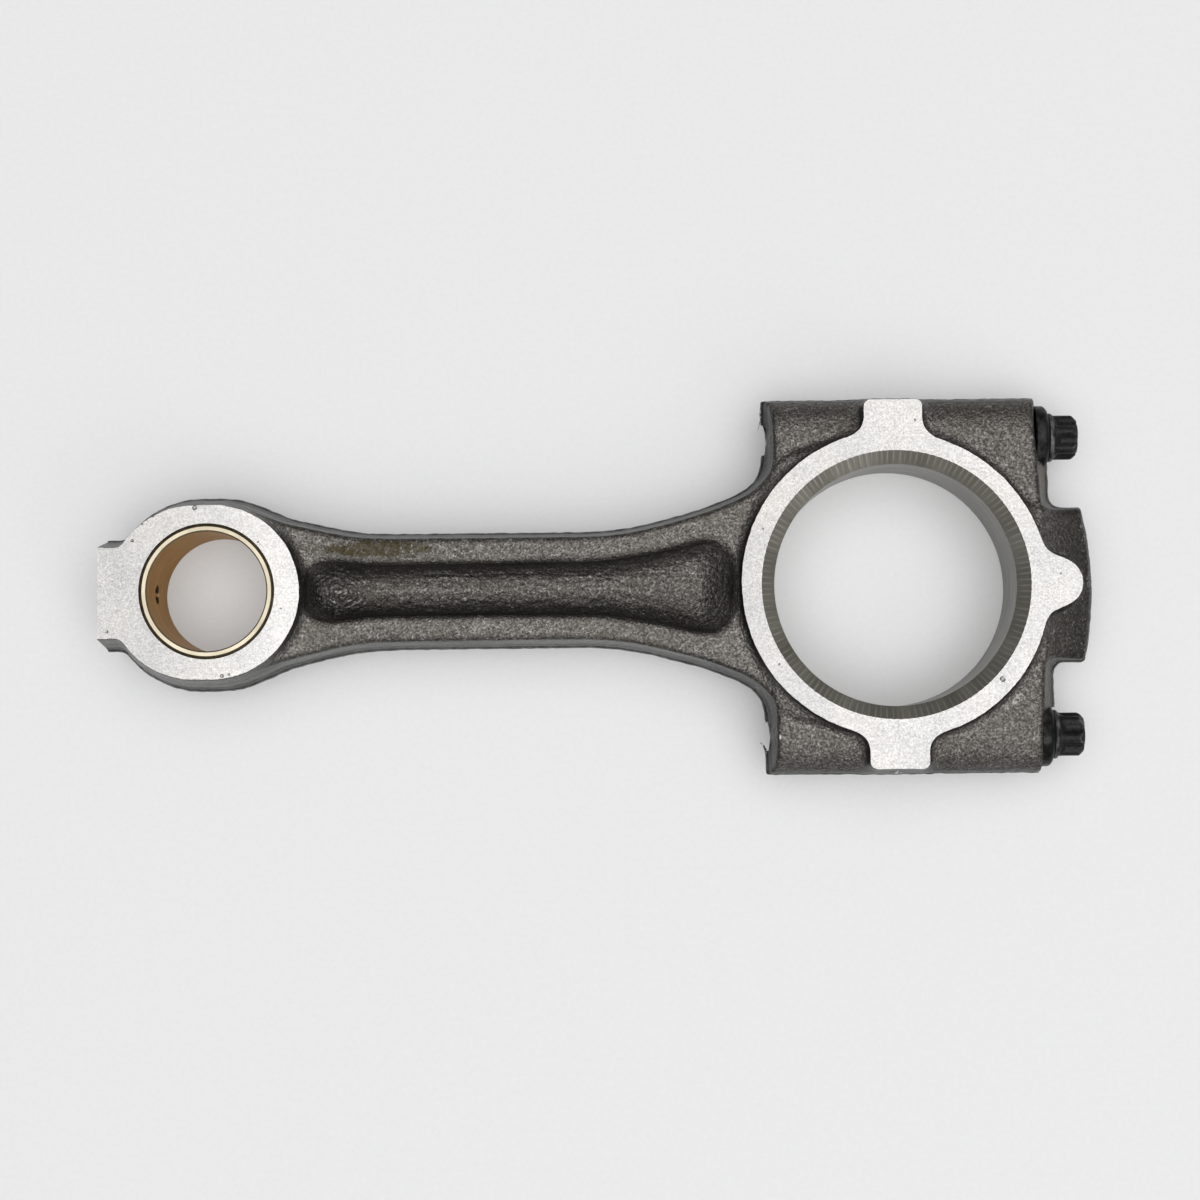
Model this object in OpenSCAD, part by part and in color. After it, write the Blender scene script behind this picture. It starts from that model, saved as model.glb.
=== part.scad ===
// Fracture-split connecting rod with a bushed small end and two cap bolts.
// Origin: centre of the big-end bore at mid thickness.
// +X runs along the rod to the cap, the small end is at -X, +Z is out of the flat side.

/* [Overall] */
// Distance between the two bore centres
centre_distance = 172; // [160:1:190]
// Thickness across the machined side faces of both ends
thickness = 28; // [27:0.5:32]

/* [Big end] */
// Diameter of the big-end housing bore
big_bore_d = 60.5; // [58:0.5:61]
// Diameter at the mouth of the bore chamfer
big_chamfer_d = 67; // [65:0.5:69]
// Depth of the bore chamfer
big_chamfer_depth = 2.6; // [1:0.1:4]
// Radius of the machined side ring
ring_r = 38.3; // [37.5:0.1:39.5]
// Length along the rod of the two side tabs
tab_length = 14.9; // [10:0.1:18]
// Half width of the side tabs at the machined face
tab_half_width = 46.1; // [45:0.1:46.5]

/* [Bolts] */
// Distance from the rod centre line to each bolt
bolt_offset = 37.7; // [37:0.1:39]
// Thread diameter
thread_d = 9; // [8:0.5:9]
// Diameter of the bolt flange
flange_d = 16.2; // [14:0.1:17]
// Length from the seat to the bolt tip
bolt_length = 57; // [50:1:62]
// Distance from the bore centre to the bolt seats
seat_x = 36.5; // [35.5:0.1:38]

/* [Shank] */
// Height of the I-section over its flanges
shank_height = 20; // [17:0.5:21]
// Thickness of the web between the pockets
web_thickness = 5.5; // [4:0.5:8]

/* [Small end] */
// Outside diameter of the bush
bush_od = 34; // [33.5:0.1:35]
// Inside diameter of the bush
bush_id = 30; // [28:0.5:31]
// Radius of the machined face of the small end
eye_face_r = 22; // [21:0.1:23]
// Distance from the bore centre to the end of the lug
lug_reach = 27.3; // [26:0.1:29]
// Diameter of the oil hole through the crown
oil_hole_d = 4.8; // [3:0.1:6]

/* [Hidden] */
$fn = 96;

half_t = thickness / 2;
far = 120;
through = 2;

// big end: the ring widens by the forging draft down to the parting plane
ring_root_r = ring_r + 1.9;
tab_inner = 34;
boss_r = 9.7;
boss_back_x = -32.6;
body_back_x = boss_back_x + 0.4;
cap_back_x = 40.6;
cap_side_x = seat_x + 0.7;
side_root = bolt_offset + boss_r - 0.2;
fill_z = 9.1;

// bolt holes
tapped_r = thread_d / 2 - 0.3;
clear_r = thread_d / 2 + 0.3;
seat_cut_r = flange_d / 2 + 2.5;
seat_cut_length = 10;

// rib and rounded nose across the back of the cap
rib_half = 19.6;
rib_crown_x = 50.7;
rib_arc_r = 84;
rib_draft = 1.8;
rib_z = 7.8;
rib_inner_x = 30;
nose_x = 40.2;
nose_r = 6.2;
nose_root_x = 33;
nose_root_half = 12.3;
nose_fillet_r = 7.2;
nose_fillet_shift = 1.7;

// shank
flange_z = shank_height / 2;
web_z = web_thickness / 2;
pocket_depth = flange_z - web_z;
pocket_draft = tan(9) * pocket_depth;
// each row: share of the centre distance, half width at the parting plane and at the flange face
shank_stations = [
  [0.959, 23.0, 18.0],
  [0.910, 20.6, 17.0],
  [0.872, 18.4, 15.6],
  [0.826, 16.5, 13.9],
  [0.767, 15.0, 12.6],
  [0.570, 14.7, 12.4],
  [0.430, 14.8, 12.6],
  [0.355, 16.9, 14.2],
  [0.285, 20.2, 17.2],
  [0.227, 24.2, 21.2],
  [0.201, 28.0, 25.0],
  [0.174, 31.5, 28.5]
];
// the round corners of the pockets: share of the centre distance, offset on Y, radius
pocket_end = [0.817, 0, 7.8];
pocket_throat = [0.756, 0, 6.8];
pocket_neck = [0.424, 0, 7.0];
pocket_corner_out = [0.271, 5.4, 6.2];

// small end: the eye is two overlapping rounds, a little longer than wide
eye_x = -centre_distance;
eye_centres = [0.9, -3.4];
eye_root_r = 24.5;
lug_half = 11.45;
lug_root_half = 13.9;
lug_length = 13.3;
lug_end_x = eye_x - lug_reach;

// bush
bush_outer_chamfer = 0.7;
bush_inner_chamfer = 0.3;

// bolt, measured from its seat
flange_h = 2.5;
flange_top_h = 3.6;
flange_top_r = flange_d / 2 - 1.1;
collar_h = 5;
collar_r = 6.2;
head_end = 10.9;
lobe_r = 5.55;
flute_r = 1.55;
flute_out = 0.55;
shank_r = thread_d / 2 - 0.05;
plain_end = 31.5;
thread_r = tapped_r - 0.06;
tip_chamfer = 0.8;

// a solid cut off at the split plane: side -1 keeps the rod half, +1 the cap half
module half_space(side) {
  translate([side > 0 ? 0 : -far, -far / 2, -far / 2])
    cube([far, far, far]);
}

module mirrored_z() {
  children();
  mirror([0, 0, 1]) children();
}

module mirrored_y() {
  children();
  mirror([0, 1, 0]) children();
}

module along_x(x, y, length, r) {
  translate([x, y, 0]) rotate([0, 90, 0]) cylinder(h = length, r = r);
}

// ring of the big end with forging draft on its rim
module big_ring() {
  mirrored_z() cylinder(h = half_t, r1 = ring_root_r, r2 = ring_r);
}

// side tab: full height at the machined face, drafted out to the parting line
module side_tab() {
  rotate([90, 0, 90])
    linear_extrude(height = tab_length, center = true)
      polygon([
        [tab_inner, half_t], [tab_half_width, half_t],
        [side_root, 0],
        [tab_half_width, -half_t], [tab_inner, -half_t]
      ]);
}

// housing bore with a chamfer at each mouth
module big_bore() {
  r = big_bore_d / 2;
  mouth = big_chamfer_d / 2;
  slope = (mouth - r) / big_chamfer_depth;
  cylinder(h = thickness + 2 * through, r = r, center = true);
  mirrored_z() translate([0, 0, half_t - big_chamfer_depth])
    cylinder(h = big_chamfer_depth + 1, r1 = r, r2 = mouth + slope);
}

// loft through the shank stations, six corners each
module shank_blank() {
  n = len(shank_stations);
  points = [
    for (s = shank_stations)
      each [
        [eye_x * s[0], s[1], 0], [eye_x * s[0], s[2], flange_z],
        [eye_x * s[0], -s[2], flange_z], [eye_x * s[0], -s[1], 0],
        [eye_x * s[0], -s[2], -flange_z], [eye_x * s[0], s[2], -flange_z]
      ]
  ];
  sides = [
    for (i = [0 : n - 2], k = [0 : 5])
      each [
        [i * 6 + k, i * 6 + 6 + (k + 1) % 6, i * 6 + (k + 1) % 6],
        [i * 6 + k, i * 6 + 6 + k, i * 6 + 6 + (k + 1) % 6]
      ]
  ];
  ends = [
    [for (k = [0 : 5]) k],
    [for (k = [0 : 5]) n * 6 - 1 - k]
  ];
  polyhedron(points = points, faces = concat(sides, ends));
}

// one end of a pocket: a drafted round corner
module pocket_corner(place, side = 1) {
  translate([eye_x * place[0], side * place[1], web_z])
    cylinder(h = pocket_depth + 1, r1 = place[2] - pocket_draft, r2 = place[2] + 0.2, $fn = 32);
}

// forged pocket on one face of the shank
module pocket() {
  hull() {
    pocket_corner(pocket_end);
    pocket_corner(pocket_throat);
  }
  hull() {
    pocket_corner(pocket_throat);
    pocket_corner(pocket_neck);
  }
  hull() {
    pocket_corner(pocket_neck);
    pocket_corner(pocket_corner_out);
    pocket_corner(pocket_corner_out, -1);
  }
}

// forged eye of the small end with its end lug
module eye_blank() {
  for (shift = eye_centres)
    translate([eye_x + shift, 0, 0])
      mirrored_z() cylinder(h = half_t, r1 = eye_root_r, r2 = eye_face_r);
  translate([lug_end_x, 0, 0])
    rotate([90, 0, 90])
      linear_extrude(height = lug_length)
        polygon([
          [-lug_half, half_t], [lug_half, half_t], [lug_root_half, 0],
          [lug_half, -half_t], [-lug_half, -half_t], [-lug_root_half, 0]
        ]);
}

// everything the rod half gives away to machining
module rod_cuts() {
  big_bore();
  translate([eye_x, 0, 0]) cylinder(h = thickness + 2 * through, r = bush_od / 2, center = true);
  translate([lug_end_x - far, -far / 2, -far / 2]) cube(far);
  along_x(lug_end_x - through, 0, lug_reach, oil_hole_d / 2);
  mirrored_y() along_x(boss_back_x - through, bolt_offset, far / 2, tapped_r);
  mirrored_z() pocket();
}

module rod_body() {
  color("dimgray") difference() {
    union() {
      intersection() {
        union() {
          big_ring();
          side_tab();
          mirror([0, 1, 0]) side_tab();
        }
        half_space(-1);
      }
      mirrored_y() along_x(boss_back_x, bolt_offset, -boss_back_x, boss_r);
      translate([body_back_x, -bolt_offset, -fill_z])
        cube([-body_back_x, 2 * bolt_offset, 2 * fill_z]);
      shank_blank();
      eye_blank();
    }
    rod_cuts();
  }
}

// rib block across the back of the cap, bulged and drafted
module cap_rib() {
  intersection() {
    translate([rib_crown_x - rib_arc_r, 0, 0])
      mirrored_z() cylinder(h = rib_z, r1 = rib_arc_r, r2 = rib_arc_r - rib_draft, $fn = 180);
    translate([rib_inner_x, -rib_half, -rib_z]) cube([far, 2 * rib_half, 2 * rib_z]);
  }
}

// rounded nose of the machined face, on the middle of the rib
module nose() {
  linear_extrude(height = thickness, center = true) {
    translate([nose_x, 0]) circle(r = nose_r);
    difference() {
      translate([nose_root_x, -nose_root_half])
        square([nose_x + nose_fillet_shift - nose_root_x, 2 * nose_root_half]);
      for (side = [-1, 1])
        translate([nose_x + nose_fillet_shift, side * (nose_r + nose_fillet_r)])
          circle(r = nose_fillet_r);
    }
  }
}

module big_end_cap() {
  color("gray") difference() {
    union() {
      intersection() {
        union() {
          big_ring();
          side_tab();
          mirror([0, 1, 0]) side_tab();
        }
        half_space(1);
      }
      mirrored_y() along_x(0, bolt_offset, cap_side_x, boss_r);
      translate([0, -bolt_offset, -fill_z])
        cube([cap_back_x, 2 * bolt_offset, 2 * fill_z]);
      cap_rib();
      nose();
    }
    big_bore();
    mirrored_y() {
      along_x(-through, bolt_offset, far / 2, clear_r);
      along_x(seat_x, bolt_offset, seat_cut_length, seat_cut_r);
    }
  }
}

module small_end_bush() {
  r_out = bush_od / 2;
  r_in = bush_id / 2;
  color("goldenrod") difference() {
    translate([eye_x, 0, 0])
      rotate_extrude()
        polygon([
          [r_in + bush_inner_chamfer, -half_t], [r_out - bush_outer_chamfer, -half_t],
          [r_out, -half_t + bush_outer_chamfer], [r_out, half_t - bush_outer_chamfer],
          [r_out - bush_outer_chamfer, half_t], [r_in + bush_inner_chamfer, half_t],
          [r_in, half_t - bush_inner_chamfer], [r_in, -half_t + bush_inner_chamfer]
        ]);
    along_x(lug_end_x, 0, lug_reach, oil_hole_d / 2);
  }
}

// six-lobe head, standing on the collar
module lobed_head() {
  translate([0, 0, flange_top_h])
    linear_extrude(height = head_end - flange_top_h)
      difference() {
        circle(r = lobe_r);
        for (a = [30 : 60 : 330])
          rotate(a) translate([lobe_r + flute_out, 0]) circle(r = flute_r, $fn = 48);
      }
}

// flanged bolt drawn on the X axis with its seat at x = 0
module cap_bolt() {
  rotate([0, 90, 0]) {
    cylinder(h = flange_h, r = flange_d / 2);
    translate([0, 0, flange_h])
      cylinder(h = flange_top_h - flange_h, r1 = flange_d / 2, r2 = flange_top_r);
    translate([0, 0, flange_top_h - 0.1]) cylinder(h = collar_h - flange_top_h, r = collar_r);
    lobed_head();
    translate([0, 0, -plain_end]) cylinder(h = plain_end + 1, r = shank_r);
    translate([0, 0, tip_chamfer - bolt_length])
      cylinder(h = bolt_length - plain_end, r = thread_r);
    translate([0, 0, -bolt_length])
      cylinder(h = tip_chamfer, r1 = thread_r - tip_chamfer, r2 = thread_r);
  }
}

module cap_bolt_upper() {
  color("dimgray") translate([seat_x, bolt_offset, 0]) cap_bolt();
}

module cap_bolt_lower() {
  color("dimgray") translate([seat_x, -bolt_offset, 0]) cap_bolt();
}

rod_body();
big_end_cap();
small_end_bush();
cap_bolt_upper();
cap_bolt_lower();
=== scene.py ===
"""Forged connecting rod with its cap, bush and cap bolts, lying on a pale floor under soft light.

The forging is one distance field, meshed and then machined with crisp cuts, as the real rod is made.
Lengths in the modelling code are millimetres in the frame of the part; meshes are stored in metres.
"""

import itertools
import math

import bpy
import numpy as np
import openvdb
from mathutils import Matrix, Vector


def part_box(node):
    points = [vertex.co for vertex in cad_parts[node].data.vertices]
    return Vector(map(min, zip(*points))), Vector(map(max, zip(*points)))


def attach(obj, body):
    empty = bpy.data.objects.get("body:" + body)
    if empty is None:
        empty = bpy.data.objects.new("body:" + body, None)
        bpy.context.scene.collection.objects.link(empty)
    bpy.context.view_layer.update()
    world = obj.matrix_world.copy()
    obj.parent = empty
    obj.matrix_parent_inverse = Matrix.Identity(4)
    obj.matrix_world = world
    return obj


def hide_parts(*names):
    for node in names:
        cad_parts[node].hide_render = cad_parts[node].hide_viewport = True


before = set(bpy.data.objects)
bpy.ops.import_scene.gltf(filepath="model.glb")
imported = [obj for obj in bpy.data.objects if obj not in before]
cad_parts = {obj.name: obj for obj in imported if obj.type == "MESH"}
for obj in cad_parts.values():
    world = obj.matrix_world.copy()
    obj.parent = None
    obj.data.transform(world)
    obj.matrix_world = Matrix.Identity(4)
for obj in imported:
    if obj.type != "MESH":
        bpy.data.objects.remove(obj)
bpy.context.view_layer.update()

MM = 0.001


# ---------------------------------------------------------------- sizes, from the frame

def node_box(node):
    low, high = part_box(node)
    return np.array(low) / MM, np.array(high) / MM


rod_low = node_box("rod_body")[0]
cap_high = node_box("big_end_cap")[1]
bush_low, bush_high = node_box("small_end_bush")
bolt_low, bolt_high = node_box("cap_bolt_upper")

HALF_T = bush_high[2]
EYE_X = (bush_low[0] + bush_high[0]) / 2
HOUSING_R = (bush_high[0] - bush_low[0]) / 2
LUG_END_X = round(rod_low[0], 3)
CROWN_X = cap_high[0]
BOLT_Y = (bolt_low[1] + bolt_high[1]) / 2
FLANGE_R = (bolt_high[1] - bolt_low[1]) / 2
BOLT_TIP_X = bolt_low[0]
HEAD_END_X = bolt_high[0]

# big end
SIDE_Y = BOLT_Y + 9.72
BORE_R = 30.25
CHAMFER_R = 33.5
CHAMFER_DEPTH = 2.6
CHATTER_MARKS = 118
CHATTER_DEPTH = 0.0012      # of the radius
RING_R = 38.3
TAB_HALF = 7.35
TAB_Y = 46.1
TAB_CORNER = 3.35
SHOULDER_X = -32.2
SHOULDER_Z = 9.6
SHOULDER_DRAFT = 15
SHOULDER_ROUND = 9
SIDE_DRAFT = 3
NOSE_X = 40.2
NOSE_R = 6.1

# the cap's end wall, which steps out between the two bolts
CAP_BACK_X = 40.3
CAP_SIDE_X = 37.75
CAP_TOP_X = 37.9
CAP_TOP_TAPER = 0.05
CAP_STEP_Y = 34.4
CAP_STEP_WIDTH = 3.4

# rib behind the nose
RIB_HALF = 19.4
RIB_ARC_R = 84.0
RIB_SETBACK = 0.1
RIB_ROOT_X = 20
RIB_Z = 8.2
RIB_SLOPE = 0.55

# bolts, with their own lengths measured from the seat
HEAD_H = 10.9
LOWER_HEAD_H = HEAD_H + 0.4
UPPER_TWIST = 44
LOWER_TWIST = 12
COLLAR_END = 5.0
LOBE_R = 5.65
FLUTE_DEPTH = 1.45
FLUTE_SHARPNESS = 1.2
THREAD_R = 4.5
CORE_R = 3.85
PITCH = 1.25
THREAD_START = -24.0
THREAD_STEP = 0.12
BOLT_SEGMENTS = 216

# bolt holes
SEAT_X = HEAD_END_X - HEAD_H
SEAT_CUT_R = 10.6
SEAT_INNER_Y = 30.9
CLEAR_R = 4.8
RELIEF_R = 4.62
TAPPED_R = 4.2

# shank
FLANGE_Z = 10.0
FLANGE_DRAFT = 10
WEB_Z = 2.75
POCKET_LEFT_X = -150.3
POCKET_RIGHT_X = -39.6
POCKET_DRAFT = 15
BULB_X = -141
DISH_RIGHT_X = -50
DISH_DEPTH = 3.2
WRINKLE_X = -140.8
WRINKLE_PITCH = 1.5

# small end
EYE_CENTRES = (1.35, -2.9)
EYE_FACE_R = 21.85
EYE_DRAFT = 10.2
LUG_HALF = 11.45
LUG_STOCK = 4
BUSH_BORE_R = 15.0
BUSH_OUTER_EDGE = 0.8
BUSH_INNER_EDGE = 0.3
PRESS_GAP = 0.02
OIL_HOLE_R = 2.4
OIL_HOLE_LENGTH = 20
BUSH_OIL_X = EYE_X - 26

# forging
DRAFT = 6.5
STOCK = 0.8
RAW_TOP = HALF_T + STOCK
FLASH_REACH = 0.34
FLASH_HALF_Z = 1.5
VOXEL = 0.4
GRID_MARGIN = 4
SPLIT_GAP = 0.012
SPLIT_STEP = 0.5
BEYOND = 260        # further than any point of the rod

# layers of uneven surface: depth, cell size and seed
SKIN_LAYERS = [(0.05, 5.0, 11), (0.05, 1.9, 12), (0.07, 0.85, 13)]
SPLIT_LAYERS = [(0.22, 4.0, 21), (0.12, 1.3, 22)]

# half widths along x
SHANK_WIDTH = [
    (-176, 21.2), (-163, 20.6), (-156, 19.5), (-150.5, 18.4), (-145.5, 17.2), (-142, 16.3),
    (-133, 14.75), (-124, 14.55), (-98, 14.5), (-74, 14.5), (-66, 15.45), (-61, 16.45),
    (-49, 19.6), (-43, 21.8), (-39, 23.35), (-35.7, 25.0), (-33.3, 26.8), (-31, 30), (-28, 34), (0, 38),
]
POCKET_WIDTH = [
    (-160, 7.9), (-141, 7.85), (-137, 7.5), (-132, 6.75), (-98, 6.75), (-74, 7.0),
    (-66, 8.0), (-60, 9.0), (-51, 11.2), (-46, 11.9), (-30, 12),
]

# how far the forging is shifted across, and turned, against its bores along x
SKEW_SHIFT = [
    (-200, -0.28), (-160, -0.22), (-133, 0.0), (-100, 0.07), (-60, 0.09), (-30, 0.24), (60, 0.2),
]
SKEW_TURN = [(-90, 0), (-40, 0.002), (-30, 0.002), (40, 0.012), (60, 0.012)]

PITS = [        # x, y, radius, depth on the upper flanges and shoulders
    (-103.4, 9.8, 1.0, 0.35), (-101.6, 9.3, 0.9, 0.45), (-105.0, 10.3, 0.8, 0.3),
    (-89.4, -8.1, 1.3, 0.5), (-82.7, -7.1, 0.9, 0.45), (-79.8, -8.7, 0.7, 0.4),
    (-79.3, -9.4, 0.6, 0.35), (-67.8, -7.0, 0.9, 0.3), (-57.3, 13.5, 0.8, 0.4),
    (-55.5, 14.6, 0.6, 0.3), (-60.1, 14.7, 0.7, 0.35), (-46.4, 18.5, 0.9, 0.6),
    (-48.4, 15.6, 0.6, 0.3), (-87.5, -6.6, 0.7, 0.3), (-72, 12.8, 0.6, 0.25),
]
PIT_STRENGTH = 1.5
SCATTERED_PITS = 420

NICKS = [       # x, y, radius, depth in the machined upper faces
    (-174.8, 20.9, 0.65, 0.25), (-190.5, 12.8, 0.45, 0.2), (-185.3, 19.0, 0.4, 0.3),
    (-183.0, 20.7, 0.35, 0.3), (-168.1, -21.2, 0.5, 0.25), (-166.4, -20.8, 0.35, 0.2),
    (-196.8, -9.9, 0.4, 0.2), (-188.0, 17.0, 0.3, 0.2), (-153.4, -4.5, 0.25, 0.15),
    (-159.0, 12.2, 0.25, 0.12), (25.9, -23.8, 0.75, 0.2), (-33.0, 14.2, 0.25, 0.12),
    (5.2, 41.0, 0.3, 0.1), (-29.4, -19.6, 0.3, 0.12), (40.8, 2.2, 0.3, 0.12),
]

CHIP = [        # broken out of the split line at the lower tab
    (-0.7, -49), (-0.5, -47.1), (-0.1, -46.2), (0.3, -46.5), (0.5, -46.9), (1.3, -46.8), (1.7, -49),
]

FLAKES = [      # torn flash left beside the bolt holes
    [(-31.2, 46.5), (-32.6, 46.3), (-32.8, 44.5), (-32.7, 43.2), (-33.35, 40.2), (-32.8, 41.7),
     (-32.4, 42.1), (-32.0, 41.4), (-31.2, 42.2)],
    [(-31.2, -46.5), (-32.3, -44.2), (-32.45, -42.0), (-32.9, -40.2), (-33.8, -39.0), (-32.8, -39.6),
     (-31.7, -41.4), (-30.9, -40.3), (-30.2, -41.6)],
    [(-31.2, 32.2), (-32.4, 31.2), (-32.4, 33.9), (-31.5, 33.7), (-30.6, 33.4)],
    [(-30.6, -33.0), (-32.3, -32.6), (-32.25, -34.2), (-31.9, -33.8), (-30.9, -33.6)],
]

# floor, light and camera: the key light's place, size and aim are in metres, the turns in degrees
FLOOR_HALF = 1500
FLOOR_THICKNESS = 20
PAPER_GLOW = 0.14
WORLD_POWER = 0.83
ROOM_LEAN = (0.45, -0.45, 0.0)
SKY = [         # height and brightness
    (0.0, 0.24), (0.3, 0.14), (0.5, 0.16), (0.74, 0.5), (0.9, 3.2), (1.0, 3.6),
]
KEY_POWER = 2.5
KEY_PLACE = (0.8, -1.0, 1.0)
KEY_SIZE = 0.7
KEY_AIM = (-0.07, 0, 0)
CAMERA_EYE = (-66.1, -33.0, 621.3)
CAMERA_TURNS = [("Y", -0.752), ("X", -2.803), ("Z", 0.583)]
CAMERA_LENS = 73.3
CAMERA_SENSOR = 36


# ---------------------------------------------------------------- the forging as a distance field

xs = np.arange(LUG_END_X - GRID_MARGIN, CROWN_X + 3, VOXEL, dtype=np.float32)
ys = np.arange(-SIDE_Y - GRID_MARGIN, SIDE_Y + GRID_MARGIN, VOXEL, dtype=np.float32)
zs = np.arange(0, RAW_TOP + 1.5, VOXEL, dtype=np.float32)


def curve(points, soften=3.0):
    """A smooth function of x that follows the points, at every grid x."""
    known_x, known_value = np.array(points, float).T
    straight = np.interp(xs, known_x, known_value)
    half = int(3 * soften / VOXEL)
    kernel = np.exp(-0.5 * (np.arange(-half, half + 1) * VOXEL / soften) ** 2)
    padded = np.pad(straight, half, mode="edge")
    return np.convolve(padded, kernel / kernel.sum(), "valid").astype(np.float32)


def skewed_grid():
    """Plan coordinates of the forging, which sits a little askew against its bores."""
    x, y = np.meshgrid(xs, ys, indexing="ij")
    y = y - curve(SKEW_SHIFT, soften=6)[:, None]
    x = x + y * curve(SKEW_TURN)[:, None]
    return x, y


X, Y = skewed_grid()
AY = np.abs(Y)


def smooth_max(a, b, blend):
    overlap = np.clip(blend - np.abs(a - b), 0, None) / blend
    return np.maximum(a, b) + overlap * overlap * (blend / 4)


def smooth_min(a, b, blend):
    return -smooth_max(-a, -b, blend)


def box_2d(centre_x, centre_y, half_x, half_y, corner):
    """Distance to a rounded rectangle, mirrored across the rod's long axis."""
    dx = np.abs(X - centre_x) - (half_x - corner)
    dy = np.abs(AY - centre_y) - (half_y - corner)
    outside = np.hypot(np.maximum(dx, 0), np.maximum(dy, 0))
    return outside + np.minimum(np.maximum(dx, dy), 0) - corner


def waisted(half_width):
    """Distance outside a shape whose half width varies along x."""
    slope = np.gradient(half_width, xs)
    return (AY - half_width[:, None]) / np.sqrt(1 + slope[:, None] ** 2)


def drafted(distance, draft):
    """A wall that leans in with height from its distance field at the parting plane."""
    return (distance[:, :, None] + zs * math.tan(math.radians(draft))) * math.cos(math.radians(draft))


def forged(outline, height, draft=DRAFT, edge=1.2):
    """A drafted boss: outline is its signed distance at the parting plane."""
    side = drafted(outline, draft)
    top = zs - (height[:, :, None] if np.ndim(height) else height)
    return smooth_max(side, np.broadcast_to(top, side.shape), edge)


def at_parting(size, draft=DRAFT):
    """The size at the parting plane that drafts in to the given size at the machined face."""
    return size + HALF_T * math.tan(math.radians(draft))


def lattice_noise(points, size, seed):
    """Smooth value noise in [-1, 1] at the points, with cells of the given size."""
    rng = np.random.default_rng(seed)
    cells = rng.uniform(-1, 1, (64, 64, 64)).astype(np.float32)
    scaled = points / size
    base = np.floor(scaled).astype(int)
    part = scaled - base
    part = part * part * (3 - 2 * part)
    total = np.zeros(len(points), np.float32)
    for corner in range(8):
        step = np.array([corner & 1, corner >> 1 & 1, corner >> 2 & 1])
        weight = np.prod(np.where(step, part, 1 - part), axis=1)
        cell = (base + step) % 64
        total += weight * cells[cell[:, 0], cell[:, 1], cell[:, 2]]
    return total


def layered_noise(points, layers):
    return sum(depth * lattice_noise(points, size, seed) for depth, size, seed in layers)


def shoulder_field():
    """Both bolt shoulders. The cap's end wall leans from its stepped foot to a straight top edge."""
    step = np.clip((CAP_STEP_Y - AY) / CAP_STEP_WIDTH, 0, 1)
    foot = CAP_SIDE_X + (CAP_BACK_X - CAP_SIDE_X) * step * step * (3 - 2 * step)
    lean = (CAP_TOP_X - CAP_TOP_TAPER * AY - foot) / SHOULDER_Z
    end_wall = X[:, :, None] - foot[:, :, None] - lean[:, :, None] * zs
    ends = smooth_max(drafted(SHOULDER_X - X, SHOULDER_DRAFT), end_wall, 1)
    top = np.broadcast_to(zs - SHOULDER_Z, ends.shape)
    body = smooth_max(drafted(AY - SIDE_Y, SIDE_DRAFT), top, SHOULDER_ROUND)
    return smooth_max(body, ends, 0.7)


def rib_field():
    """The rib across the crown of the cap, with an arched back and a sloping top."""
    crown = np.hypot(X - (CROWN_X - RIB_SETBACK - RIB_ARC_R), Y) - RIB_ARC_R
    outline = smooth_max(smooth_max(crown, AY - RIB_HALF, 0.9), RIB_ROOT_X - X, 1)
    top = RIB_Z - RIB_SLOPE * np.clip(X - CAP_BACK_X, -3, None)
    return forged(outline, top, edge=1.5)


def big_end_field():
    """The ring with its two tabs and nose, over the bolt shoulders and the rib."""
    # the ring of the cap sits a little off the ring of the rod
    cap_side = np.clip((X + 10) / 25, 0, 1)
    ring_x = X + 0.2 + 0.1 * cap_side
    ring_y = Y - 0.1 + 0.6 * cap_side
    ring = forged(np.hypot(ring_x, ring_y) - at_parting(RING_R), RAW_TOP)
    tab = forged(box_2d(0, 20, at_parting(TAB_HALF), at_parting(TAB_Y) - 20, TAB_CORNER), RAW_TOP)
    nose = forged(np.hypot(X - NOSE_X, Y) - at_parting(NOSE_R), RAW_TOP)
    lower = smooth_min(shoulder_field(), rib_field(), 3.5)
    upper = smooth_min(smooth_min(ring, tab, 4.2), nose, 5.5)
    field = smooth_min(lower, upper, 2.6)
    side = np.broadcast_to((AY - SIDE_Y)[:, :, None], field.shape)
    return smooth_max(field, side, 0.5)


def shank_field():
    """The I-section's outer shape, from the eye's centre to the big end's."""
    middle = EYE_X / 2
    ends = np.abs(X - middle) + middle
    outline = np.maximum(waisted(curve(SHANK_WIDTH)), ends)
    return forged(outline, FLANGE_Z, draft=FLANGE_DRAFT, edge=1.0)


def pocket_field():
    """The hollow on each side of the web, wider at both ends."""
    outline = waisted(curve(POCKET_WIDTH, soften=2.0))
    outline = smooth_max(outline, X - POCKET_RIGHT_X, 8.0)
    outline = smooth_max(outline, POCKET_LEFT_X - X, 9.0)
    wall = outline[:, :, None] + (FLANGE_Z - zs) * math.tan(math.radians(POCKET_DRAFT))
    # the floor dishes up towards both ends
    left = np.clip(np.hypot(X - BULB_X, Y) - 1.5, 0, None) * (X < BULB_X)
    right = np.clip(X - DISH_RIGHT_X, 0, None)
    dish = DISH_DEPTH * (1 - np.exp(-0.02 * (left ** 2 + right ** 2)))
    floor = (WEB_Z + dish)[:, :, None] - zs
    blend = 6.0 + 1.5 * np.clip((X + 75) / 20, 0, 1) + 1.0 * np.clip((-135 - X) / 5, 0, 1)
    return smooth_max(wall, floor, blend[:, :, None])


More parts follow.
